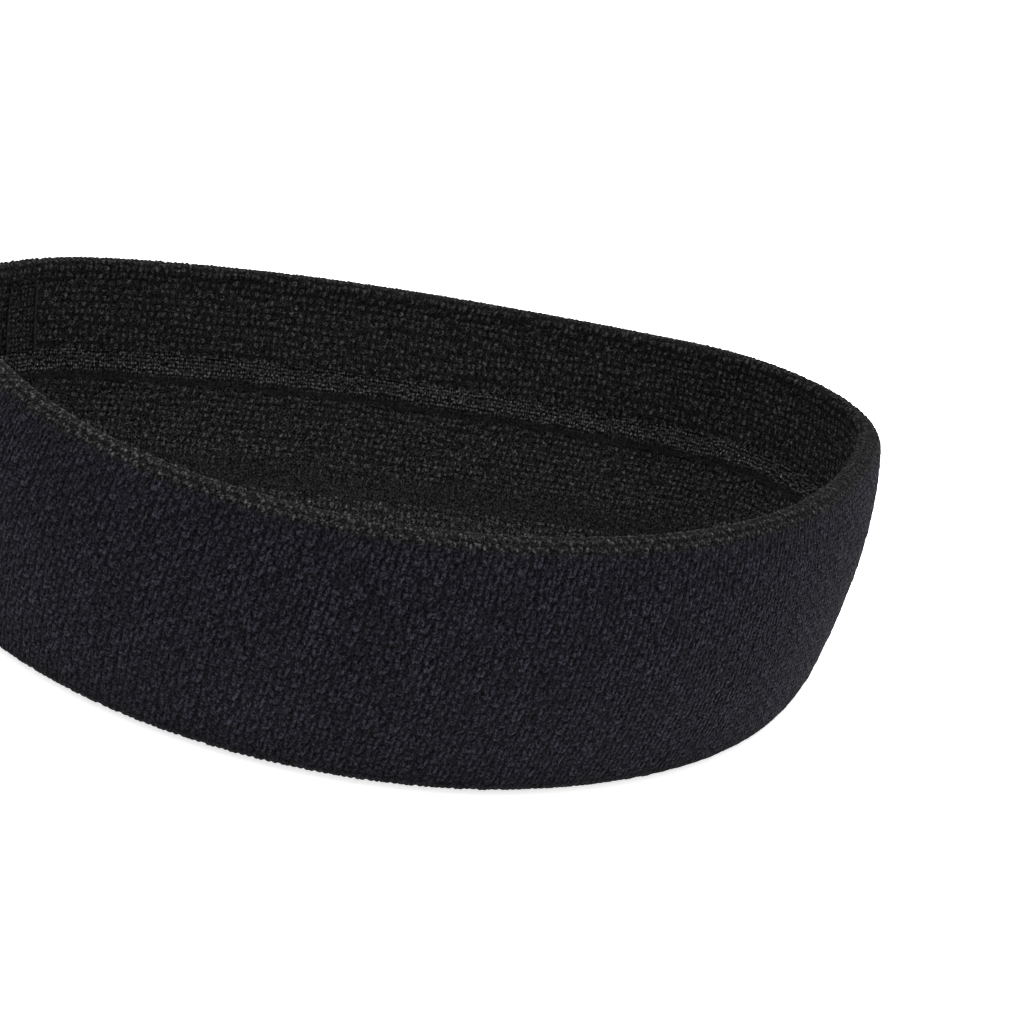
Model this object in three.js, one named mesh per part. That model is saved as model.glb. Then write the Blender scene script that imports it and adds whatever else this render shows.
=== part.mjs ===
// Sports headband: an endless loop of doubled knit, turned over along its top and bottom edges
// and joined along a ridge in the middle of its inside face.
// Millimetres, +Z up. The band stands on its lower edge with its front towards -Y.
import * as THREE from 'three';
import { mergeVertices } from 'three/addons/utils/BufferGeometryUtils.js';

// The wall, as a section through it shows it. "Up" is measured along the wall from its lower
// edge, and "out" from the inside face towards the outside face.
const BAND_HEIGHT = 50;
const WALL = 5;               // both layers of knit and what lies between them
const LAYER = 1.6;            // one layer of knit
const GAP = 0.3;              // clear space between neighbouring pieces
const FOLD_REACH = 4.4;       // how far each turned edge reaches along the wall
const INLAY_MARGIN = 3;       // the inlay stops this far inside each edge

// The ridge that joins the two hems, on the inside.
const RIDGE_BOTTOM = 24;
const RIDGE_TOP = 30;
const RIDGE_STAND = 1.6;      // how far it stands in past the hems
const THREAD = 0.5;

// The upright seam that closes the strip of knit into a loop, at the back left.
const SEAM_PLACE = 0.2858;    // share of the way round the loop, at half height
const SEAM_LEAN = 0.22;       // how far it drifts anticlockwise for each mm up
const SEAM_WIDTH = 8.4;
const SEAM_THICKNESS = 0.6;
const STITCH_INSET = 0.6;     // from the seam's edge to the middle of its row of stitches
const OUTER_SEAM_WIDTH = 1.6;

// Seen from above, the loop is a chain of arcs that run into each other without a corner,
// anticlockwise from the right end of the back. Turns are in degrees. The radii of the back
// and the front are left open, because they are what closes the loop.
const ARCS = [
  { name: 'back', turn: 21, radius: null },
  { name: 'left shoulder', turn: 35, radius: 48 },
  { name: 'left end', turn: 45, radius: 22 },
  { name: 'front', turn: 137, radius: null },
  { name: 'right side', turn: 17, radius: 165 },
  { name: 'right end', turn: 105, radius: 37 },
];
const START_HEADING = 187.5;  // the way the back sets off, in degrees from +X

// How the soft wall stands: each value is a mean, a swing that is greatest where the back
// begins and least half way round, and a second swing that goes round twice.
const SWELL = { mean: 3.1, once: -1.3, twice: 0 };    // the outside's bulge at half height
const FLARE = { mean: 0.3, once: 2.1, twice: 0 };     // the top edge's place past the bottom one
const RISE = { mean: 1.85, once: 2.1, twice: -1.5 };   // height over BAND_HEIGHT

// Places where the wall leaves that form: a value is full at its centre, a share of the way
// round, and the higher the power the sooner it fades.
const TUCK = { most: 6.6, centre: 0.127, power: 3 };       // the back's lower edge, drawn inwards
const TUCK_LEVEL = 0.3;                                    // as far up as that reaches
const END_LEAN = { most: -1.2, centre: 0.9, power: 6 };    // the right end leans in at the top
const END_DRAW = { most: 0.5, centre: 0.885, power: 8 };   // and its top edge is drawn in
const END_SWELL = { most: 1.0, centre: 0.885, power: 8 };  // over a bulge two thirds up
const FOOT_OUT = { most: 1.4, centre: 0.47, power: 5 };    // the front's lower edge stands out
const FOOT_IN = { most: -1.8, centre: 0.7, power: 8 };     // and then in

const ROUND_STEPS = 72;       // flats round the loop
const LATHE_RADIUS = 100;     // of the round ring that each piece starts as
const FOLD_ARC_STEPS = 5;     // odd, so that the lower edge has a flat to stand on
const FOLD_HOLLOW_STEPS = 3;
const WALL_STEPS = 10;
const HEM_STEPS = 4;

const BLACK_KNIT = { color: 0x201f23, roughness: 0.95, metalness: 0 };
const BLACK_INSIDE = { color: 0x1f1f20, roughness: 0.95, metalness: 0 };
const BLACK_THREAD = { color: 0x3a3a3d, roughness: 0.7, metalness: 0 };
const GREY_ELASTIC = { color: 0x4a4a4a, roughness: 0.8, metalness: 0 };

// The two open radii solve the two sums that bring the chain back to its start.
function closedArcs() {
  let heading = THREE.MathUtils.degToRad(START_HEADING);
  const arcs = ARCS.map(({ name, turn, radius }) => {
    const from = heading;
    heading += THREE.MathUtils.degToRad(turn);
    const reachX = Math.sin(heading) - Math.sin(from);
    const reachY = Math.cos(from) - Math.cos(heading);
    return { name, radius, from, to: heading, reachX, reachY };
  });
  const [first, second] = arcs.filter((arc) => arc.radius === null);
  let restX = 0;
  let restY = 0;
  for (const arc of arcs) {
    restX += (arc.radius ?? 0) * arc.reachX;
    restY += (arc.radius ?? 0) * arc.reachY;
  }
  const scale = first.reachX * second.reachY - second.reachX * first.reachY;
  first.radius = (second.reachX * restY - second.reachY * restX) / scale;
  second.radius = (first.reachY * restX - first.reachX * restY) / scale;
  return arcs;
}

function loopPath() {
  const path = new THREE.Path();
  const at = new THREE.Vector2();
  for (const arc of closedArcs()) {
    const centreX = at.x - arc.radius * Math.sin(arc.from);
    const centreY = at.y + arc.radius * Math.cos(arc.from);
    const start = arc.from - Math.PI / 2;
    const end = arc.to - Math.PI / 2;
    path.absarc(centreX, centreY, arc.radius, start, end, false);
    at.x += arc.radius * arc.reachX;
    at.y += arc.radius * arc.reachY;
  }
  return path;
}

const loop = loopPath();

function wave({ mean, once, twice }, share) {
  const angle = 2 * Math.PI * share;
  return mean + once * Math.cos(angle) + twice * Math.cos(2 * angle);
}

function near({ most, centre, power }, share) {
  return most * Math.max(0, Math.cos(2 * Math.PI * (share - centre))) ** power;
}

// A corner of the loop's flats, and the way out of the wall there.
function flatCorner(step) {
  const share = (step % ROUND_STEPS) / ROUND_STEPS;
  const point = loop.getPoint(share);
  const along = loop.getTangent(share);
  return { share, point, outX: along.y, outY: -along.x };
}

const corners = Array.from({ length: ROUND_STEPS }, (_, step) => flatCorner(step));

function wallPointAtCorner(step, out, up) {
  const corner = corners[step % ROUND_STEPS];
  const level = up / BAND_HEIGHT;
  const endBulge = near(END_SWELL, corner.share) * 6.75 * level ** 2 * (1 - level);
  const bulge = wave(SWELL, corner.share) * (1 - (2 * level - 1) ** 2) + endBulge;
  const lean = (wave(FLARE, corner.share) + near(END_LEAN, corner.share)) * (level - 0.5);
  const tuck = near(TUCK, corner.share) * Math.max(0, 1 - level / TUCK_LEVEL) ** 2;
  const draw = near(END_DRAW, corner.share) * level ** 2;
  const foot = (near(FOOT_OUT, corner.share) + near(FOOT_IN, corner.share)) * (1 - level) ** 2;
  const reach = out - WALL + bulge + lean + foot - tuck - draw;
  return new THREE.Vector3(
    corner.point.x + corner.outX * reach,
    corner.point.y + corner.outY * reach,
    level * (BAND_HEIGHT + wave(RISE, corner.share)),
  );
}

// Any place in the wall: between two corners the flats are straight.
function wallPoint(share, out, up) {
  const place = (share + 1) * ROUND_STEPS;
  const step = Math.floor(place + 1e-6);
  const before = wallPointAtCorner(step, out, up);
  const after = wallPointAtCorner(step + 1, out, up);
  return before.lerp(after, Math.max(0, place - step));
}

function closedBody(geometry) {
  geometry.deleteAttribute('normal');
  geometry.deleteAttribute('uv');
  return mergeVertices(geometry, 1e-3);
}

// A ring of the wall: its section is turned on a lathe, then laid round the loop.
// The section is a list of [out, up] corners that closes on itself.
function ring(section) {
  const profile = [...section, section[0]]
    .map(([out, up]) => new THREE.Vector2(LATHE_RADIUS + out, up));
  const geometry = new THREE.LatheGeometry(profile, ROUND_STEPS);
  const position = geometry.attributes.position;
  for (let i = 0; i < position.count; i += 1) {
    const x = position.getX(i);
    const z = position.getZ(i);
    const share = Math.atan2(x, z) / (2 * Math.PI);
    const out = Math.hypot(x, z) - LATHE_RADIUS;
    const point = wallPoint(share, out, position.getY(i));
    position.setXYZ(i, point.x, point.y, point.z);
  }
  return closedBody(geometry);
}

// A strip that lies on the wall: width along the loop, height up the wall.
function patch(place, width, out, thickness, bottom, top) {
  const height = top - bottom;
  const geometry = new THREE.BoxGeometry(width, thickness, height, 1, 1, WALL_STEPS);
  const position = geometry.attributes.position;
  const length = loop.getLength();
  for (let i = 0; i < position.count; i += 1) {
    const depth = out + position.getY(i);
    const up = bottom + height / 2 + position.getZ(i);
    const drift = SEAM_LEAN * (up - BAND_HEIGHT / 2) - position.getX(i);
    const share = place + drift / length;
    const point = wallPoint(share, depth, up);
    position.setXYZ(i, point.x, point.y, point.z);
  }
  return closedBody(geometry);
}

function arcPoints(centreUp, radius, steps, turn) {
  return Array.from({ length: steps + 1 }, (_, i) => {
    const angle = turn * Math.PI * (i / steps);
    return [WALL / 2 - radius * Math.cos(angle), centreUp - radius * Math.sin(angle)];
  });
}

// The lower turned edge as a section: a U of knit whose legs point up. It is let down so
// that the flat under its middle lies at the very bottom.
function lowerFoldSection() {
  const outerRadius = WALL / 2;
  const centreUp = outerRadius * Math.cos(Math.PI / (2 * FOLD_ARC_STEPS));
  const outside = arcPoints(centreUp, outerRadius, FOLD_ARC_STEPS, 1);
  const hollow = arcPoints(centreUp, outerRadius - LAYER, FOLD_HOLLOW_STEPS, 1).reverse();
  return [
    [0, FOLD_REACH],
    ...outside,
    [WALL, FOLD_REACH],
    [WALL - LAYER, FOLD_REACH],
    ...hollow,
    [LAYER, FOLD_REACH],
  ];
}

function upperFoldSection() {
  return lowerFoldSection().map(([out, up]) => [out, BAND_HEIGHT - up]).reverse();
}

// A flat layer of the wall, divided in height so that it can follow the bulge.
function layerSection(inside, outside, bottom, top, steps) {
  const heights = Array.from({ length: steps + 1 }, (_, i) => bottom + ((top - bottom) * i) / steps);
  return [
    ...heights.map((up) => [outside, up]),
    ...heights.reverse().map((up) => [inside, up]),
  ];
}

function ridgeSection() {
  const bottom = RIDGE_BOTTOM + GAP;
  const top = RIDGE_TOP - GAP;
  const shoulder = 0.8;
  return [
    [LAYER, bottom],
    [LAYER, top],
    [0, top],
    [-0.7 * RIDGE_STAND, top - shoulder],
    [-RIDGE_STAND, top - 2.5 * shoulder],
    [-RIDGE_STAND, bottom + 2.5 * shoulder],
    [-0.7 * RIDGE_STAND, bottom + shoulder],
    [0, bottom],
  ];
}

function threadSection() {
  const middle = (RIDGE_BOTTOM + RIDGE_TOP) / 2;
  const crest = -RIDGE_STAND - GAP;
  return layerSection(crest - THREAD, crest, middle - THREAD / 2, middle + THREAD / 2, 1);
}

const band = new THREE.Group();

function add(name, geometry, look) {
  const mesh = new THREE.Mesh(geometry, new THREE.MeshStandardMaterial(look));
  mesh.name = name;
  band.add(mesh);
}

function addWall() {
  const bottom = FOLD_REACH + GAP;
  const top = BAND_HEIGHT - FOLD_REACH - GAP;
  const inlayInside = LAYER + GAP;
  const inlayOutside = WALL - LAYER - GAP;
  const inlayTop = BAND_HEIGHT - INLAY_MARGIN;
  add('outer_face', ring(layerSection(WALL - LAYER, WALL, bottom, top, WALL_STEPS)), BLACK_KNIT);
  add('top_fold', ring(upperFoldSection()), BLACK_KNIT);
  add('bottom_fold', ring(lowerFoldSection()), BLACK_KNIT);
  add('inner_upper_hem', ring(layerSection(0, LAYER, RIDGE_TOP, top, HEM_STEPS)), BLACK_INSIDE);
  add('inner_lower_hem', ring(layerSection(0, LAYER, bottom, RIDGE_BOTTOM, HEM_STEPS)), BLACK_INSIDE);
  add(
    'elastic_inlay',
    ring(layerSection(inlayInside, inlayOutside, INLAY_MARGIN, inlayTop, WALL_STEPS)),
    GREY_ELASTIC,
  );
}

function addRidge() {
  add('seam_ridge', ring(ridgeSection()), BLACK_INSIDE);
  add('overlock_thread', ring(threadSection()), BLACK_THREAD);
}

// The closing seam lies on both hems, with a row of stitches along each of its edges, and
// shows on the outside as a narrow welt.
function addClosingSeam() {
  const lift = 2 * GAP;
  const hems = [
    { part: 'upper', bottom: RIDGE_TOP + lift, top: BAND_HEIGHT - FOLD_REACH - lift },
    { part: 'lower', bottom: FOLD_REACH + lift, top: RIDGE_BOTTOM - lift },
  ];
  const sides = [{ side: 'left', sign: -1 }, { side: 'right', sign: 1 }];
  const length = loop.getLength();
  const seamOut = -GAP;
  const stitchOut = seamOut - SEAM_THICKNESS - GAP;
  const stitchOffset = SEAM_WIDTH / 2 - STITCH_INSET;
  for (const { part, bottom, top } of hems) {
    add(
      `closing_seam_${part}`,
      patch(SEAM_PLACE, SEAM_WIDTH, seamOut - SEAM_THICKNESS / 2, SEAM_THICKNESS, bottom, top),
      BLACK_INSIDE,
    );
    for (const { side, sign } of sides) {
      const place = SEAM_PLACE - (sign * stitchOffset) / length;
      add(
        `closing_stitch_${part}_${side}`,
        patch(place, THREAD, stitchOut - THREAD / 2, THREAD, bottom, top),
        BLACK_THREAD,
      );
    }
  }
  const bottom = FOLD_REACH + lift;
  const top = BAND_HEIGHT - FOLD_REACH - lift;
  const welt = WALL + GAP + THREAD / 2;
  add('outer_closing_seam', patch(SEAM_PLACE, OUTER_SEAM_WIDTH, welt, THREAD, bottom, top), BLACK_KNIT);
}

addWall();
addRidge();
addClosingSeam();

// The middle of the band's outline is at the origin, and its lower edge on the plane z = 0.
const outline = new THREE.Box3().setFromObject(band);
const centre = outline.getCenter(new THREE.Vector3());
band.position.set(-centre.x, -centre.y, -outline.min.z);

export default band;
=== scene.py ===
import math

import bpy
import numpy as np
from mathutils import Matrix, Vector


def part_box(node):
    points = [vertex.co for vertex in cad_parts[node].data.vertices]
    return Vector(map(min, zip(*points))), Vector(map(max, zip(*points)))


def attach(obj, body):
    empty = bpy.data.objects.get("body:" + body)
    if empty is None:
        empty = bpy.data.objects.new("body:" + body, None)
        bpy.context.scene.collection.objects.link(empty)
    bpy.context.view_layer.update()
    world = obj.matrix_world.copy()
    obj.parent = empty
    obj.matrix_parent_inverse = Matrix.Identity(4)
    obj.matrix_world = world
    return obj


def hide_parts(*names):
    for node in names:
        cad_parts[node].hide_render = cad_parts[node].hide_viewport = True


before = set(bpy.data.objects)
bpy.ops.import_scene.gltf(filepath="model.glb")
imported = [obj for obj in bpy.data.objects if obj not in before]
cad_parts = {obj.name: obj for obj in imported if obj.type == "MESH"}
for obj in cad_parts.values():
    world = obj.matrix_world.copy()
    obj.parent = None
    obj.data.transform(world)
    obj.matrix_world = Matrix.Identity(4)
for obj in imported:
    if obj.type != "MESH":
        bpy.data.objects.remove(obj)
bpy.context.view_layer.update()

# A sports headband: an endless loop of doubled knit, turned over along its top and bottom
# edges and joined along a rolled ridge inside. Sizes are in millimetres until a mesh is made.
# "Up" is measured along the wall from its lower edge, "out" from its inside face outwards,
# and "share" is the part of the way round the loop, anticlockwise from the right of the back.
MM = 0.001
BAND_HEIGHT = 50.0
WALL = 5.0
LAYER = 1.6
FOLD_REACH = 4.55             # where each turned edge meets the flat layers
RIDGE_BOTTOM = 24.15
RIDGE_TOP = 30.15
SEAM_PLACE = 0.2858
SEAM_LEAN = 0.22
SEAM_WIDTH = 8.4

# The plan is a chain of arcs: the turn of each in degrees and its radius, left open for the
# back and the front, whose radii close the loop.
ARCS = ((21, None), (35, 48.0), (45, 22.0), (137, None), (17, 165.0), (105, 37.0))
START_HEADING = 187.5         # the way the back sets off, in degrees from +X

# How the soft wall stands. Each of these three is a mean, a part added in full where the back
# begins and taken away half way round, and a part that comes and goes twice on the way.
SWELL = (3.1, -1.3, 0.0)      # the bulge at half height
FLARE = (0.3, 2.1, 0.0)       # how far the top edge stands out past the bottom one
RISE = (1.85, 2.1, -1.5)      # height over BAND_HEIGHT

# Places where the wall leaves that form: how much, the share of the way round where it is
# full, and a power; the higher the power the sooner it fades.
TUCK = (6.6, 0.127, 3)        # the back's lower edge, drawn inwards
TUCK_LEVEL = 0.3              # as far up as that reaches
END_LEAN = (-1.2, 0.9, 6)     # the right end leans in at the top
END_DRAW = (0.5, 0.885, 8)    # and its top edge is drawn in
END_SWELL = (1.0, 0.885, 8)   # over a bulge two thirds up
FOOT_OUT = (1.4, 0.47, 5)     # the front's lower edge stands out
FOOT_IN = (-1.8, 0.7, 8)      # and then in

# Knit gauge. Outside: stitches two courses tall, staggered from wale to wale.
WALES = 228
PER_WALE = 10                 # columns of the mesh to each wale
COURSE = 1.43
OUTSIDE_LEAN = 0.087          # how far the wales drift anticlockwise for each mm up
# Inside: a purl face, one loop showing at every other place in each row.
UPPER_LOOPS = 188
UPPER_ROW = 1.61
UPPER_LEAN = 0.08
LOWER_LOOPS = 196
LOWER_ROW = 1.343
LOWER_LEAN = -0.116
PER_LOOP = 11                 # columns of the mesh to each place

# How far a stitch stands up from the gaps between stitches: outside, inside and on the rim.
YARN_STAND = 0.5
LOOP_STAND = 0.45
RIM_STAND = 0.55
RIM_ROW = 1.3                 # from row to row of the rim's knots

# No two stitches are alike. The sizes and places of the loops repeat after this many.
PLACES = 256
ROWS = 64
yarn_dice = np.random.default_rng(11)
STITCH_SIZE = yarn_dice.normal(0.88, 0.12, (WALES, ROWS))
STITCH_DRIFT = yarn_dice.normal(0.0, 0.07, (WALES, ROWS))
LOOP_SIZE = yarn_dice.normal(0.82, 0.15, (PLACES, ROWS))
LOOP_DRIFT = yarn_dice.normal(0.0, 0.11, (PLACES, ROWS))
LOOP_LIFT = yarn_dice.normal(0.0, 0.17, (PLACES, ROWS))

# Each leg of an outside stitch: where its foot and its head lie across the wale, half its
# width, and how much it is pinched in where the next stitch grips it.
STITCH_LEGS = ((0.33, 0.20, 0.21, 0.5), (0.62, 0.86, 0.195, 0.12))
# Half the width and half the height of an inside loop, out of the space from one to the next.
PLUMP_LOOP = (0.2, 0.42)
SLACK_LOOP = (0.19, 0.38)
# Each knot at a place on the rim: how far right and up it lies, half its width and height,
# how proud it stands, and how far along the table its size is taken from.
RIM_KNOTS = (
    (-0.22, 0.1, 0.16, 0.36, 1.0, 15),
    (0.1, -0.14, 0.14, 0.34, 1.1, 13),
    (0.38, 0.2, 0.13, 0.3, 0.8, 12),
)


# ---------------------------------------------------------------- the shape of the wall

def close_the_loop():
    """Headings, radii, corners and lengths of the arcs, the open radii solved."""
    headings = np.radians(START_HEADING + np.cumsum([0] + [turn for turn, _ in ARCS]))
    across = np.sin(headings[1:]) - np.sin(headings[:-1])
    forward = np.cos(headings[:-1]) - np.cos(headings[1:])
    reach = np.stack((across, forward), axis=1)
    radii = np.array([radius or 0.0 for _, radius in ARCS])
    free = [i for i, (_, radius) in enumerate(ARCS) if radius is None]
    radii[free] = np.linalg.solve(reach[free].T, -(radii @ reach))
    corners = np.vstack((np.zeros(2), np.cumsum(radii[:, None] * reach, axis=0)))
    return headings, radii, corners, radii * np.diff(headings)


HEADINGS, RADII, CORNERS, LENGTHS = close_the_loop()
LOOP_LENGTH = LENGTHS.sum()


def wave(form, share):
    mean, once, twice = form
    return mean + once * np.cos(2 * np.pi * share) + twice * np.cos(4 * np.pi * share)


def near(form, share):
    """Full at its centre, and faded to nothing a quarter of the way round from there."""
    most, centre, power = form
    return most * np.maximum(0, np.cos(2 * np.pi * (share - centre))) ** power


def raw_wall(share, out, up):
    """Any place in the wall, measured from where the back of the loop begins."""
    share = share % 1.0
    distance = share * LOOP_LENGTH
    ends = np.cumsum(LENGTHS)
    arc = np.minimum(np.searchsorted(ends, distance, side="right"), len(ARCS) - 1)
    heading = HEADINGS[arc] + (distance - (ends - LENGTHS)[arc]) / RADII[arc]
    start = HEADINGS[arc]
    level = up / BAND_HEIGHT
    two_thirds_up = 6.75 * level ** 2 * (1 - level)    # 1 there, and 0 at both edges
    end_swell = near(END_SWELL, share) * two_thirds_up
    swell = wave(SWELL, share) * (1 - (2 * level - 1) ** 2) + end_swell
    lean = (wave(FLARE, share) + near(END_LEAN, share)) * (level - 0.5)
    tuck = near(TUCK, share) * np.clip(1 - level / TUCK_LEVEL, 0, None) ** 2
    draw = near(END_DRAW, share) * level ** 2
    foot = (near(FOOT_OUT, share) + near(FOOT_IN, share)) * (1 - level) ** 2
    reach = out - WALL + swell + lean + foot - tuck - draw
    x = CORNERS[arc, 0] + RADII[arc] * (np.sin(heading) - np.sin(start)) + np.sin(heading) * reach
    y = CORNERS[arc, 1] + RADII[arc] * (np.cos(start) - np.cos(heading)) - np.cos(heading) * reach
    z = level * (BAND_HEIGHT + wave(RISE, share))
    return np.stack(np.broadcast_arrays(x, y, z), axis=-1)


FACE_BOTTOM = 4.7             # where the frame's outside layer starts and ends
FACE_TOP = 45.3


def middle_of_loop():
    """How far the loop is from standing where the frame's outside layer stands."""
    low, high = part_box("outer_face")
    share = np.linspace(0, 1, 720)[:, None]
    up = np.linspace(FACE_BOTTOM, FACE_TOP, 12)[None, :]
    ring = raw_wall(share, WALL, up).reshape(-1, 3)
    drawn = (ring.min(0) + ring.max(0)) / 2
    wanted = np.array((low + high) / 2) / MM
    return np.array((wanted[0] - drawn[0], wanted[1] - drawn[1], 0.0))


LOOP_PLACE = middle_of_loop()


def wall(share, out, up):
    return raw_wall(share, out, up) + LOOP_PLACE


# ---------------------------------------------------------------- how yarn lies in the knit

def ease(low, high, value):
    t = np.clip((value - low) / (high - low), 0, 1)
    return t * t * (3 - 2 * t)


def dome(*offsets):
    """A rounded bump that is 1 in the middle and 0 where the offsets add up to 1."""
    return np.sqrt(np.clip(1 - sum(offset ** 2 for offset in offsets), 0, None))


def outside_stitches(wale, course):
    """The face of the knit: two legs of yarn to a stitch, meeting at its foot."""
    column = np.floor(wale).astype(int)
    across = wale - column
    rise = course / 2 + 0.5 * (column % 2)
    height = np.zeros(np.broadcast(wale, course).shape)
    for step in (-1, 0, 1):
        stitch = np.floor(rise).astype(int) + step
        climb = rise - stitch
        size = STITCH_SIZE[column % WALES, stitch % ROWS]
        drift = STITCH_DRIFT[column % WALES, stitch % ROWS]
        sinking = 1.05 - 0.35 * climb    # a stitch goes under the one above it
        for foot, head, half, waist in STITCH_LEGS:
            middle = foot + (head - foot) * climb + drift
            leg = dome((across - middle) / half, ((climb - 0.47) / 0.55) ** 2)
            pinch = 1 - waist * np.exp(-((climb - 0.4) / 0.09) ** 2)
            height = np.maximum(height, leg * pinch * size * sinking)
    return height


def inside_loops(place, row):
    """The back of the knit: a plump loop at every other place, a slack one between."""
    height = np.zeros(np.broadcast(place, row).shape)
    for step in (-1, 0, 1):
        line = np.round(row).astype(int) + step
        shifted = place + 0.5 * (line % 2)
        loop = np.round(shifted).astype(int)
        drawn = (loop % PLACES, line % ROWS)
        size = LOOP_SIZE[drawn]
        beside = shifted - loop - LOOP_DRIFT[drawn]
        above = row - line - LOOP_LIFT[drawn]
        arched = above + 0.5 * np.abs(beside)
        plump = dome(beside / PLUMP_LOOP[0], arched / PLUMP_LOOP[1])
        between = np.abs(shifted - loop) - 0.5
        slack = (1.5 - size) * dome(between / SLACK_LOOP[0], above / SLACK_LOOP[1])
        height = np.maximum(height, np.maximum(plump * size, slack))
    return height


def rim_loops(place, along):
    """Stitches stretched over the turned edge: three small tight knots to each place."""
    height = np.zeros(np.broadcast(place, along).shape)
    for step in (-1, 0, 1):
        line = np.round(along).astype(int) + step
        shifted = place + 0.5 * (line % 2)
        for right, up, wide, tall, proud, skip in RIM_KNOTS:
            knot = np.round(shifted - right).astype(int)
            size = LOOP_SIZE[(knot + skip) % PLACES, line % ROWS] + 0.1
            beside = shifted - right - knot - 0.6 * LOOP_DRIFT[knot % PLACES, line % ROWS]
            above = along - line - up
            bump = dome(beside / wide, (above + 0.5 * beside) / tall)
            height = np.maximum(height, bump * size * proud)
    return height


# ---------------------------------------------------------------- meshes

def sweep(name, rings, endless, crown_lights):
    """A skin over a row of closed rings of points; an endless row runs back to its start.
    Crown lights tell the finish how high up its stitch each point lies, for the highlight that it
    paints on top and the shade that it paints down in the gaps."""
    count, around = rings.shape[:2]
    ring = np.arange(count if endless else count - 1)[:, None]
    corner = np.arange(around)[None, :]
    ahead = (ring + 1) % count
    beside = (corner + 1) % around
    quads = np.stack(
        (
            ring * around + corner,
            ahead * around + corner,
            ahead * around + beside,
            ring * around + beside,
        ),
        axis=-1,
    ).reshape(-1)
    sizes = np.full(len(quads) // 4, 4)
    if not endless:
        caps = (np.arange(around), (count - 1) * around + np.arange(around)[::-1])
        quads = np.concatenate((quads, *caps))
        sizes = np.concatenate((sizes, (around, around)))
    mesh = bpy.data.meshes.new(name)
    mesh.vertices.add(count * around)
    mesh.vertices.foreach_set("co", (rings * MM).astype(np.float32).reshape(-1))
    mesh.loops.add(len(quads))
    mesh.loops.foreach_set("vertex_index", quads.astype(np.int32))
    mesh.polygons.add(len(sizes))
    starts = np.concatenate(((0,), np.cumsum(sizes)[:-1]))
    mesh.polygons.foreach_set("loop_start", starts.astype(np.int32))
    mesh.polygons.foreach_set("use_smooth", np.ones(len(sizes), bool))
    # The relief's height at each point, for the finish's painted highlight on top of stitches and
    # painted shade in the gaps.
    attribute = mesh.attributes.new("crown_light", "FLOAT", "POINT")
    attribute.data.foreach_set("value", crown_lights.astype(np.float32).reshape(-1))
    mesh.update(calc_edges=True)
    mesh.validate()
    piece = bpy.data.objects.new(name, mesh)
    bpy.context.scene.collection.objects.link(piece)
    return piece


def finish_piece(piece, cad, finishes):
    for finish in finishes:
        piece.data.materials.append(finish)
    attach(piece, "root")
    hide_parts(cad)
    return piece


def straight(out, start, end, step):
    """Points of a flat face of the wall, as pairs of out and up."""
    up = np.linspace(start, end, max(2, round(abs(end - start) / step) + 1))
    return np.stack((np.full(len(up), out), up), axis=1)


def turned(centre_up, radius, start, end, step):
    """Points round a turned edge, from one angle to another; 0 points out and 90 up."""
    count = max(4, round(abs(math.radians(end - start)) * radius / step) + 1)
    angle = np.radians(np.linspace(start, end, count))
    return np.stack(
        (WALL / 2 + radius * np.cos(angle), centre_up + radius * np.sin(angle)), axis=1
    )


def joined(*runs):
    """Runs of points end to end, each meeting point kept once."""
    return np.concatenate([run[:-1] for run in runs[:-1]] + [runs[-1]])


def crown_light(stand):
    """How far a place lies up on top of its stitch, where the finish paints highlight: nothing
    down in the gaps, where it paints shade.
    """
    return np.clip(stand / YARN_STAND, 0, 1.2) ** 1.5


def knit_ring(name, show, lining, wales, per_wale, lean, start, relief):
    """One endless piece of knit: the points that show, with the yarn's relief on them, and
    the plain points of its lining side. Start is where the first lies along the fabric.
    A point close to each end keeps the face's shading flat right up to its cut edge."""
    near_ends = show[[0, -1]] + 0.1 * (show[[1, -2]] - show[[0, -1]])
    show = np.concatenate((show[:1], near_ends[:1], show[1:-1], near_ends[1:], show[-1:]))
    along = start + np.concatenate(((0.0,), np.cumsum(np.hypot(*np.diff(show, axis=0).T))))
    heading = np.gradient(show, axis=0)
    heading /= np.hypot(*heading.T)[:, None]
    back = np.linspace(along[-1], along[0], len(lining))
    slant = lean * (np.concatenate((along, back)) - BAND_HEIGHT / 2) / LOOP_LENGTH
    columns = wales * per_wale
    share = np.arange(columns)[:, None] / columns + slant[None, :]
    height = relief((np.arange(columns) / per_wale)[:, None], along[None, :])
    plain = np.zeros((columns, len(lining)))
    stand = np.concatenate((height, plain), axis=1)
    out = np.concatenate((show[:, 0] + height * heading[:, 1], plain + lining[:, 0]), axis=1)
    up = np.concatenate((show[:, 1] - height * heading[:, 0], plain + lining[:, 1]), axis=1)
    return sweep(name, wall(share, out, up), True, crown_light(stand))


# ---------------------------------------------------------------- the pieces of knit

SINK = 0.35                   # the gaps between stitches lie this deep in the wall's face
STEP = 0.21                   # from point to point of a face that shows
TOP = BAND_HEIGHT - FOLD_REACH
# A turned edge goes straight up a leg, half way round a circle and down its other leg.
TURN_TOP = BAND_HEIGHT - WALL / 2
TURN_RADIUS = WALL / 2 - SINK
LEG = TURN_TOP - TOP
TURN_LENGTH = math.pi * TURN_RADIUS


def outer_face():
    return knit_ring(
        "outer_knit_face",
        straight(WALL - SINK, FOLD_REACH, TOP, STEP),
        straight(WALL - LAYER, TOP, FOLD_REACH, 5),
        WALES, PER_WALE, OUTSIDE_LEAN, FOLD_REACH,
        lambda wale, along: YARN_STAND * outside_stitches(wale, along / COURSE),
    )


def change_finish(fold, first, last):
    """Puts a fold's second finish on it between two places along its fabric."""
    columns = WALES * PER_WALE
    faces = np.arange(len(fold.data.polygons) // columns) * STEP
    second = np.tile((faces >= first) & (faces <= last), columns)
    fold.data.polygons.foreach_set("material_index", second.astype(np.int32))


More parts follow.
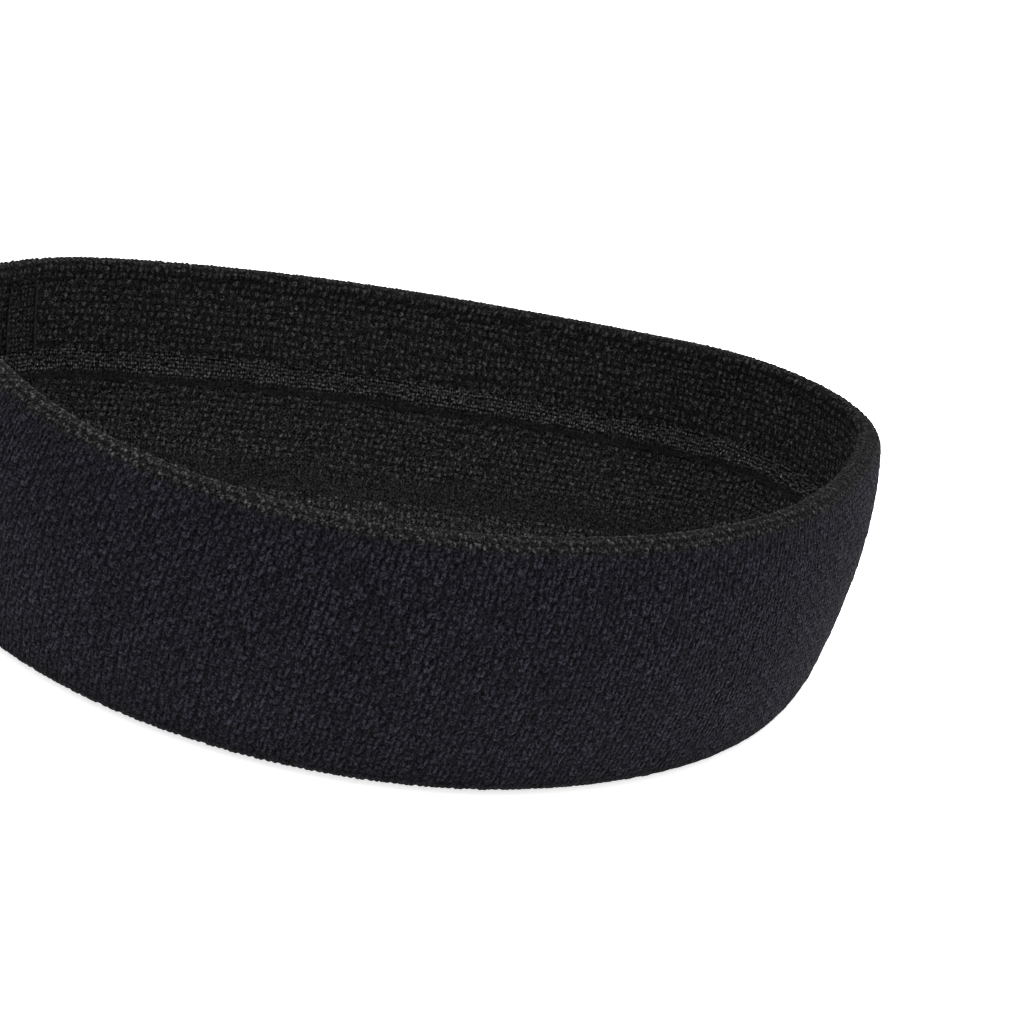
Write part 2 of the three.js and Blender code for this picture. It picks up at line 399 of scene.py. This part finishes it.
def top_fold():
    """Outside stitches up its first leg, knots over the rim, inside loops down its second."""
    def relief(wale, along):
        past = along - TOP
        slip = OUTSIDE_LEAN * (TOP + 2 * LEG + TURN_LENGTH - BAND_HEIGHT / 2)
        slip = (slip + UPPER_LEAN * (FOLD_REACH - BAND_HEIGHT / 2)) / LOOP_LENGTH
        place = (wale / WALES + slip) * UPPER_LOOPS
        to_rim = ease(LEG - 0.05 * TURN_LENGTH, LEG + 0.2 * TURN_LENGTH, past)
        to_inside = ease(LEG + 0.5 * TURN_LENGTH, LEG + 0.7 * TURN_LENGTH, past)
        # The rim's knots are plumpest half way round, and flattest where the back begins.
        plump = 0.7 - 0.3 * np.cos(2 * np.pi * wale / WALES)
        face = YARN_STAND * outside_stitches(wale, along / COURSE)
        rim_row = (past - LEG - 0.55 * TURN_LENGTH) / RIM_ROW
        rim = RIM_STAND * plump * rim_loops(place, rim_row)
        row = (past - 2 * LEG - TURN_LENGTH + FOLD_REACH) / UPPER_ROW
        inside = LOOP_STAND * inside_loops(place, row)
        outside = face * (1 - to_rim) + rim * to_rim
        return outside * (1 - to_inside) + inside * to_inside

    show = joined(
        straight(WALL - SINK, TOP, TURN_TOP, STEP),
        turned(TURN_TOP, TURN_RADIUS, 0, 180, STEP),
        straight(SINK, TURN_TOP, TOP, STEP),
    )
    hollow = joined(
        straight(LAYER, TOP, TURN_TOP, 1),
        turned(TURN_TOP, WALL / 2 - LAYER, 180, 0, 0.6),
        straight(WALL - LAYER, TURN_TOP, TOP, 1),
    )
    fold = knit_ring(
        "top_turned_edge", show, hollow, WALES, PER_WALE, OUTSIDE_LEAN, TOP, relief
    )
    change_finish(fold, LEG + 0.1 * TURN_LENGTH, math.inf)
    return fold


def bottom_fold():
    """Inside loops down its first leg, then outside stitches pressed flat by the floor."""
    start = FOLD_REACH - 2 * LEG - TURN_LENGTH

    def relief(wale, along):
        face = outside_stitches(wale, along / COURSE)
        slip = OUTSIDE_LEAN * (start - BAND_HEIGHT / 2) + LOWER_LEAN * (TOP - BAND_HEIGHT / 2)
        place = (wale / WALES + slip / LOOP_LENGTH) * LOWER_LOOPS
        inside = inside_loops(place, (along - start + TOP) / LOWER_ROW)
        to_face = ease(start + LEG, start + LEG + TURN_LENGTH / 2, along)
        pressed = 0.3 + 0.2 * ease(FOLD_REACH - LEG, FOLD_REACH, along)
        return face * to_face * pressed + LOOP_STAND * inside * (1 - to_face)

    show = joined(
        straight(SINK, FOLD_REACH, WALL / 2, STEP),
        turned(WALL / 2, TURN_RADIUS, 180, 360, STEP),
        straight(WALL - SINK, WALL / 2, FOLD_REACH, STEP),
    )
    hollow = joined(
        straight(WALL - LAYER, FOLD_REACH, WALL / 2, 1),
        turned(WALL / 2, WALL / 2 - LAYER, 360, 180, 0.6),
        straight(LAYER, WALL / 2, FOLD_REACH, 1),
    )
    fold = knit_ring(
        "bottom_turned_edge", show, hollow, WALES, PER_WALE, OUTSIDE_LEAN, start, relief
    )
    change_finish(fold, 0, LEG + 0.3 * TURN_LENGTH)
    return fold


def inner_upper_hem():
    return knit_ring(
        "inner_upper_knit",
        straight(SINK, TOP, RIDGE_TOP, STEP),
        straight(LAYER, RIDGE_TOP, TOP, 4),
        UPPER_LOOPS, PER_LOOP, -UPPER_LEAN, FOLD_REACH,
        lambda place, along: LOOP_STAND * inside_loops(place, along / UPPER_ROW),
    )


def inner_lower_hem():
    def relief(place, along):
        # Near the bottom edge, where it rubs, the loops are pressed down.
        pressed = 1 - 0.65 * ease(BAND_HEIGHT - 13, BAND_HEIGHT - 6, along)
        return LOOP_STAND * pressed * inside_loops(place, along / LOWER_ROW)

    return knit_ring(
        "inner_lower_knit",
        straight(SINK, RIDGE_BOTTOM, FOLD_REACH, STEP),
        straight(LAYER, FOLD_REACH, RIDGE_BOTTOM, 4),
        LOWER_LOOPS, PER_LOOP, -LOWER_LEAN, BAND_HEIGHT - RIDGE_BOTTOM,
        relief,
    )


# The ridge's roll as pairs of out and up, from the upper hem over its crest and under to the
# lower hem.
RIDGE_ROLL = (
    (SINK, 30.15), (-0.05, 29.6), (-0.7, 28.8), (-1.35, 27.8), (-1.85, 26.8),
    (-2.0, 25.9), (-1.7, 25.1), (-1.0, 24.6), (-0.3, 24.3), (SINK, 24.15),
)


def ridge_line():
    """The roll's corners rounded off, as close together as the mesh needs."""
    corners = np.array(RIDGE_ROLL)
    along = np.concatenate(((0.0,), np.cumsum(np.hypot(*np.diff(corners, axis=0).T))))
    fine = np.linspace(0, along[-1], 120)
    line = np.stack([np.interp(fine, along, corners[:, i]) for i in (0, 1)], axis=1)
    for _ in range(24):
        line[1:-1] = (line[:-2] + 2 * line[1:-1] + line[2:]) / 4
    return line[::3]


RIDGE_PLACES = 250
RIDGE_PER_PLACE = 8
RIDGE_ROW = 0.8               # from row to row of the ridge's small tight loops
LOOPS_END = (3.6, 5.0)        # how far down the roll they begin and finish giving way to ribs
# The ribs stand this low partly so that the finish paints them near black, painted shade under
# the crest, besides their real relief.
RIB_STAND = 0.07


def seam_ridge():
    """The two hems overlocked together and rolled down: loops above, ribs below the crest. The
    loops carry painted highlight on the lit crest, and the low ribs painted shade on the
    underside.
    """
    def relief(place, along):
        past = along - along[0, 0]
        round_loop = 2 * np.pi * place / RIDGE_PLACES
        # The line where the loops end wanders up and down.
        ripple = 0.25 * np.sin(17 * round_loop) + 0.2 * np.sin(41 * round_loop + 1)
        under = ease(*LOOPS_END, past + ripple)
        loops = LOOP_STAND * inside_loops(1.8 * place, past / RIDGE_ROW)
        ribs = RIB_STAND * dome(2 * (2 * place % 1) - 1) * (0.8 + 0.2 * np.cos(past * 5.5))
        return loops * (1 - under) + ribs * under

    show = ridge_line()
    lining = straight(LAYER, show[-1, 1], show[0, 1], 2)
    return knit_ring(
        "joining_ridge", show, lining, RIDGE_PLACES, RIDGE_PER_PLACE, 0.0,
        BAND_HEIGHT - RIDGE_TOP, relief,
    )


# ---------------------------------------------------------------- threads and seams

def tube(name, centres, radii, sides=8):
    """A thread along a row of points, closed at both ends."""
    run = np.gradient(centres, axis=0)
    run /= np.linalg.norm(run, axis=1)[:, None]
    side = np.cross(run, (0.0, 0.0, 1.0))
    weak = np.linalg.norm(side, axis=1) < 0.3
    side[weak] = np.cross(run[weak], (1.0, 0.0, 0.0))
    side /= np.linalg.norm(side, axis=1)[:, None]
    other = np.cross(run, side)
    angle = -2 * np.pi * np.arange(sides) / sides
    spokes = side[:, None] * np.cos(angle)[None, :, None]
    spokes = spokes + other[:, None] * np.sin(angle)[None, :, None]
    rings = centres[:, None] + np.asarray(radii).reshape(-1, 1, 1) * spokes
    return sweep(name, rings, False, np.ones(rings.shape[:2]))


THROWS = 600
POINTS_PER_THROW = 8
THROW_UP = 28.9               # middle of the thread's zigzag
THROW_REACH = 0.25            # and how far it swings up and down
LOOPER_RADIUS = 0.12


def overlock_thread():
    """The looper thread, thrown from side to side along the upper slope of the ridge."""
    points = np.arange(THROWS * POINTS_PER_THROW) / POINTS_PER_THROW
    swing = 2 / math.pi * np.arcsin(np.sin(math.pi * points))
    up = THROW_UP + THROW_REACH * swing
    roll = np.array(RIDGE_ROLL[::-1])
    out = np.interp(up, roll[:, 1], roll[:, 0]) - 0.35 + 0.1 * np.abs(swing)
    nearly_round = 0.9995
    centres = wall(points / THROWS * nearly_round, out, up)
    return tube("overlock_looper_thread", centres, np.full(len(centres), LOOPER_RADIUS), 6)


STRIP_POINTS = 43             # across the face of a strip
STRIP_BACK_POINTS = 4
STRIP_EDGE = 0.9              # how far in from its edges a strip rounds off


def seam_strip(name, width, foot, head, face, thickness, side, relief):
    """A narrow band of sewn fabric up the wall. Side is -1 on the inside of the wall."""
    up = np.linspace(foot, head, round((head - foot) / 0.2))[:, None]
    across = np.linspace(-0.5, 0.5, STRIP_POINTS)[None, :] * width
    height = relief(across, up)
    edge = np.clip((0.5 * width - np.abs(across)) / STRIP_EDGE, 0, 1)
    front = face + side * (thickness * np.sqrt(edge) + height)
    back = np.full((len(up), STRIP_BACK_POINTS), face) - side * 0.2
    behind = np.linspace(0.45, -0.45, STRIP_BACK_POINTS)[None, :] * width
    places = np.concatenate((across, behind), axis=1)
    out = np.concatenate((front, back), axis=1)
    share = SEAM_PLACE + (SEAM_LEAN * (up - BAND_HEIGHT / 2) - side * places) / LOOP_LENGTH
    stand = np.concatenate((height, np.zeros(back.shape)), axis=1)
    return sweep(name, wall(share, out, up), False, crown_light(stand))


STITCH_INSET = 0.7            # from the seam strip's edge to the middle of its stitching
STRIP_PLACE = 1.9             # the strip's own loops: from place to place, and row to row
STRIP_ROW = 1.1


def closing_seam(part, foot, head):
    """The strip that covers the join, with a channel for each row of its stitching."""
    def relief(across, up):
        skip = 40    # the strip's loops come from their own part of the table
        loops = inside_loops(across / STRIP_PLACE + skip, up / STRIP_ROW)
        stitched = np.abs(across) - SEAM_WIDTH / 2 + STITCH_INSET
        channel = np.exp(-(stitched / 0.3) ** 2)
        return LOOP_STAND * loops * (1 - channel)

    return seam_strip(
        f"closing_seam_{part}_strip", SEAM_WIDTH, foot, head,
        face=0.3, thickness=0.3, side=-1, relief=relief,
    )


LOCK_STITCH = 1.9             # from hole to hole


def closing_stitch(part, side, sign, foot, head):
    """A row of lock stitches: the thread swells between the holes that it dips into."""
    up = np.linspace(foot, head, round((head - foot) / 0.16))
    stitch = np.abs(np.sin(np.pi * (up - foot) / LOCK_STITCH)) ** 0.5
    drift = SEAM_LEAN * (up - BAND_HEIGHT / 2) - sign * (SEAM_WIDTH / 2 - STITCH_INSET)
    centres = wall(SEAM_PLACE + drift / LOOP_LENGTH, -0.05 - 0.3 * stitch, up)
    return tube(f"closing_thread_{part}_{side}", centres, 0.1 + 0.15 * stitch)


def outer_closing_seam():
    """The narrow welt that the closing seam raises on the outside."""
    def relief(across, up):
        return 0.3 * dome(2 * ((up + 0.5 * across) / COURSE % 1) - 1) * dome(across / 0.8)

    return seam_strip(
        "outer_closing_welt", 1.6, FOLD_REACH + 0.2, TOP - 0.2,
        face=WALL - 0.1, thickness=0.25, side=1, relief=relief,
    )


# ---------------------------------------------------------------- finishes

def linear(colour):
    """An sRGB hex colour as linear red, green, blue and alpha."""
    parts = [int(colour[i:i + 2], 16) / 255 for i in (1, 3, 5)]
    bent = [p / 12.92 if p <= 0.04045 else ((p + 0.055) / 1.055) ** 2.4 for p in parts]
    return (*bent, 1.0)


def per(size):
    """Texture scale that repeats once in this many millimetres."""
    return 1 / (size * MM)


def node(tree, kind, sockets=None, **settings):
    """Adds a node with its settings; a socket takes a value or another node's output."""
    added = tree.nodes.new(kind)
    for name, value in settings.items():
        setattr(added, name, value)
    for name, value in (sockets or {}).items():
        if isinstance(value, bpy.types.NodeSocket):
            tree.links.new(value, added.inputs[name])
        else:
            added.inputs[name].default_value = value
    return added


def new_finish(name):
    finish = bpy.data.materials.new(name)
    finish.use_nodes = True
    finish.node_tree.nodes.clear()
    return finish, finish.node_tree


CLOUD = 9                     # the dye takes a little unevenly, over about this distance
FIBRE = 0.4                   # specks painted as glints where fibres catch the light, also the fuzz's bump and roughness: loose fibres are far finer, drawn this coarse so that they show


def yarn_finish(name, gap_shade, top, fibre_glints):
    """Spun black yarn. Its gap colour is painted shade down between the stitches and its top
    colour painted highlight on top of them, mixed by how high each point stands. The last pair of
    numbers is how dark and how light its specks are against the yarn that they lie on: painted
    glints where fibres catch the light."""
    finish, tree = new_finish(name)
    place = node(tree, "ShaderNodeTexCoord").outputs["Object"]
    # Painted light: how high the relief stands at each point mixes the gap colour, painted shade
    # down between the stitches, with the top colour, painted highlight on top of them.
    height = node(tree, "ShaderNodeAttribute", attribute_name="crown_light").outputs["Fac"]
    painted_shade_and_highlight = node(tree, "ShaderNodeMix", data_type="RGBA", sockets={
        0: height, 6: linear(gap_shade), 7: linear(top),
    })
    uneven = node(tree, "ShaderNodeTexNoise", {
        "Vector": place, "Scale": per(CLOUD), "Detail": 4.0, "Roughness": 0.65,
    })
    level = node(tree, "ShaderNodeMapRange", {
        "Value": uneven.outputs["Fac"], "From Min": 0.3, "From Max": 0.7,
        "To Min": 0.9, "To Max": 1.12,
    })
    specks = node(tree, "ShaderNodeTexNoise", {
        "Vector": place, "Scale": per(FIBRE), "Detail": 2.0, "Roughness": 0.6,
    })
    # Painted glints: bright specks several times the yarn's colour where fibres catch the light,
    # with darker yarn between them.
    painted_glint_level = node(tree, "ShaderNodeMapRange", {
        "Value": specks.outputs["Fac"], "From Min": 0.42, "From Max": 0.66,
        "To Min": fibre_glints[0], "To Max": fibre_glints[1],
    })
    both = node(tree, "ShaderNodeMath", {
        0: level.outputs["Result"], 1: painted_glint_level.outputs["Result"],
    }, operation="MULTIPLY")
    tinted = node(tree, "ShaderNodeVectorMath", {
        0: painted_shade_and_highlight.outputs[2], "Scale": both.outputs["Value"],
    }, operation="SCALE")
    rough = node(tree, "ShaderNodeMapRange", {
        "Value": specks.outputs["Fac"], "From Min": 0.35, "From Max": 0.7,
        "To Min": 0.85, "To Max": 0.5,
    })
    fuzz = node(tree, "ShaderNodeBump", {
        "Height": specks.outputs["Fac"], "Strength": 0.8, "Distance": 0.25 * MM,
    })
    surface = node(tree, "ShaderNodeBsdfPrincipled", {
        "Base Color": tinted.outputs["Vector"],
        "Roughness": rough.outputs["Result"],
        "Normal": fuzz.outputs["Normal"],
        "Specular IOR Level": 0.035,
    })
    node(tree, "ShaderNodeOutputMaterial", {"Surface": surface.outputs["BSDF"]})
    return finish


TWIST = 0.3                   # a thread's twist is finer: drawn this coarse so that it shows


def thread_finish():
    """Polyester sewing thread, twisted: smoother than the knit, so it catches more light."""
    finish, tree = new_finish("polyester_thread_twisted")
    place = node(tree, "ShaderNodeTexCoord").outputs["Object"]
    strands = node(tree, "ShaderNodeTexNoise", {
        "Vector": place, "Scale": per(TWIST), "Detail": 2.0,
    })
    colour = node(tree, "ShaderNodeMix", data_type="RGBA", sockets={
        0: strands.outputs["Fac"], 6: linear("#080808"), 7: linear("#1e1e1f"),
    })
    ply = node(tree, "ShaderNodeBump", {
        "Height": strands.outputs["Fac"], "Strength": 0.5, "Distance": 0.1 * MM,
    })
    surface = node(tree, "ShaderNodeBsdfPrincipled", {
        "Base Color": colour.outputs[2],
        "Roughness": 0.5,
        "Normal": ply.outputs["Normal"],
        "Specular IOR Level": 0.1,
    })
    node(tree, "ShaderNodeOutputMaterial", {"Surface": surface.outputs["BSDF"]})
    return finish


RIBS = 1.2 * 2 * math.pi      # 7.5 mm from rib to rib
WAVES = 20 / (2 * math.pi)    # a wave texture of scale 1 repeats this often in a metre


def elastic_finish():
    """Woven elastic: dull grey ribs with paler hollows between, running round the loop."""
    finish, tree = new_finish("woven_elastic_ribbed")
    place = node(tree, "ShaderNodeTexCoord").outputs["Object"]
    ribs = node(tree, "ShaderNodeTexWave", {
        "Vector": place, "Scale": per(RIBS) / WAVES, "Distortion": 0.6, "Detail": 1.0,
    }, wave_type="BANDS", bands_direction="Z")
    colour = node(tree, "ShaderNodeMix", data_type="RGBA", sockets={
        0: ribs.outputs["Fac"], 6: linear("#2b2b2c"), 7: linear("#5a5a5a"),
    })
    relief = node(tree, "ShaderNodeBump", {
        "Height": ribs.outputs["Fac"], "Strength": 0.6, "Distance": 0.3 * MM,
    })
    surface = node(tree, "ShaderNodeBsdfPrincipled", {
        "Base Color": colour.outputs[2],
        "Roughness": 0.8,
        "Normal": relief.outputs["Normal"],
    })
    node(tree, "ShaderNodeOutputMaterial", {"Surface": surface.outputs["BSDF"]})
    return finish


MOTTLE = 120


def floor_finish():
    """White board, matt: faintly mottled, and with no glare on it."""
    finish, tree = new_finish("white_board_matt")
    place = node(tree, "ShaderNodeTexCoord").outputs["Object"]
    mottle = node(tree, "ShaderNodeTexNoise", {"Vector": place, "Scale": per(MOTTLE)})
    colour = node(tree, "ShaderNodeMix", data_type="RGBA", sockets={
        0: mottle.outputs["Fac"], 6: linear("#f7f7f7"), 7: linear("#ffffff"),
    })
    surface = node(tree, "ShaderNodeBsdfPrincipled", {
        "Base Color": colour.outputs[2],
        "Roughness": 0.9,
        "Specular IOR Level": 0.1,
        "Emission Color": linear("#ffffff"),
        "Emission Strength": 0.66,
    })
    node(tree, "ShaderNodeOutputMaterial", {"Surface": surface.outputs["BSDF"]})
    return finish


# ---------------------------------------------------------------- putting the band together

def make_band():
    # Polyester filament knitted face out: the smoothest of the yarns, dark and faintly blue.
    outside = yarn_finish("polyester_knit_face", "#0a090c", "#1e1d24", (0.25, 2.7))
    # The same knit stretched over the turned edge, where it opens: its colours are painted
    # lighter, a painted highlight where the edge faces the overhead lamp.
    rim = yarn_finish("polyester_knit_stretched_painted_lit", "#080808", "#2a2a2b", (0.15, 3.2))
    # Spun cotton, its loops standing out of the back of the knit: matt and neutral, with painted
    # highlight grey on the loops and painted shade black between them.
    inside = yarn_finish("cotton_knit_back", "#0b0b0b", "#2d2d2d", (0.1, 3.4))
    # The same cotton, a little paler, on the lower hem, its seam strip and the inner leg of the
    # bottom edge.
    paler_cotton = yarn_finish("cotton_knit_paler", "#0f0f0f", "#323232", (0.1, 3.4))
    # Cotton rolled tight over a seam: the palest loops, with the deepest black between them:
    # painted highlight on the crest that faces the overhead lamp, and painted shade between the
    # loops.
    rolled = yarn_finish("cotton_knit_rolled_painted_light", "#040404", "#4a4a4a", (0.1, 3.4))
    thread = thread_finish()
    above_ridge = (RIDGE_TOP, TOP - 0.3)
    below_ridge = (FOLD_REACH, RIDGE_BOTTOM)
    made = (
        (outer_face(), "outer_face", (outside,), "outer_knit"),
        (top_fold(), "top_fold", (outside, rim), "outer_knit"),
        (bottom_fold(), "bottom_fold", (outside, paler_cotton), "outer_knit"),
        (inner_upper_hem(), "inner_upper_hem", (inside,), "inner_knit"),
        (inner_lower_hem(), "inner_lower_hem", (paler_cotton,), "inner_knit"),
        (seam_ridge(), "seam_ridge", (rolled,), "inner_knit"),
        (overlock_thread(), "overlock_thread", (thread,), "thread"),
        (closing_seam("upper", *above_ridge), "closing_seam_upper", (inside,), "inner_knit"),
        (closing_seam("lower", *below_ridge), "closing_seam_lower", (paler_cotton,), "inner_knit"),
        (outer_closing_seam(), "outer_closing_seam", (outside,), "outer_knit"),
    )
    pieces = {cad: finish_piece(piece, cad, looks) for piece, cad, looks, slot in made}
    for part, (foot, head) in (("upper", above_ridge), ("lower", below_ridge)):
        for side, sign in (("left", -1), ("right", 1)):
            stitch = closing_stitch(part, side, sign, foot, head)
            finish_piece(stitch, f"closing_stitch_{part}_{side}", (thread,))
    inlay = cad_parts["elastic_inlay"]
    inlay.data.materials.clear()
    inlay.data.materials.append(elastic_finish())
    return pieces


def add_floor():
    """A white board, 0.3 mm under the band so that the two don't touch."""
    mesh = bpy.data.meshes.new("floor")
    reach = 6.0
    corners = [(-reach, -reach, 0), (reach, -reach, 0), (reach, reach, 0), (-reach, reach, 0)]
    mesh.from_pydata(corners, [], [(0, 1, 2, 3)])
    floor = bpy.data.objects.new("floor", mesh)
    floor.location.z = -0.3 * MM
    floor.data.materials.append(floor_finish())
    bpy.context.scene.collection.objects.link(floor)


def add_lamp(name, place, aim, size, watts):
    lamp = bpy.data.lights.new(name, "AREA")
    lamp.size = size
    lamp.energy = watts
    holder = bpy.data.objects.new(name, lamp)
    holder.location = place
    holder.rotation_euler = (Vector(aim) - Vector(place)).to_track_quat("-Z", "Y").to_euler()
    bpy.context.scene.collection.objects.link(holder)


def light_studio():
    world = bpy.data.worlds.new("white_room")
    world.use_nodes = True
    world.node_tree.nodes["Background"].inputs["Color"].default_value = (1, 1, 1, 1)
    world.node_tree.nodes["Background"].inputs["Strength"].default_value = 1.05
    bpy.context.scene.world = world
    bpy.context.scene.view_settings.view_transform = "Standard"
    add_lamp(
        "overhead_softbox", place=(0.1, 0.1, 1.1), aim=(0, 0, 0.03), size=0.5, watts=16
    )


AIM = np.array((-30.85, -49.23, 20.5))    # what it looks at, from the start of the back
CAMERA_RISE = 21.46           # degrees above level
CAMERA_ROLL = 13.24           # degrees, so that the right end hangs low
CAMERA_AWAY = 500
LENS = 82.33


def add_camera():
    rise = math.radians(CAMERA_RISE)
    roll = math.radians(CAMERA_ROLL)
    back = Vector((0, -math.cos(rise), math.sin(rise)))
    level = Vector((1, 0, 0))
    upright = Vector((0, math.sin(rise), math.cos(rise)))
    side = math.cos(roll) * level + math.sin(roll) * upright
    top = -math.sin(roll) * level + math.cos(roll) * upright
    lens = bpy.data.cameras.new("camera")
    lens.lens = LENS
    lens.sensor_width = 36
    lens.clip_start = 0.01
    camera = bpy.data.objects.new("camera", lens)
    turn = Matrix((side, top, back)).transposed().to_4x4()
    place = Vector(LOOP_PLACE + AIM) * MM + back * (CAMERA_AWAY * MM)
    camera.matrix_world = Matrix.Translation(place) @ turn
    bpy.context.scene.collection.objects.link(camera)
    bpy.context.scene.camera = camera


add_camera()
light_studio()
add_floor()
make_band()
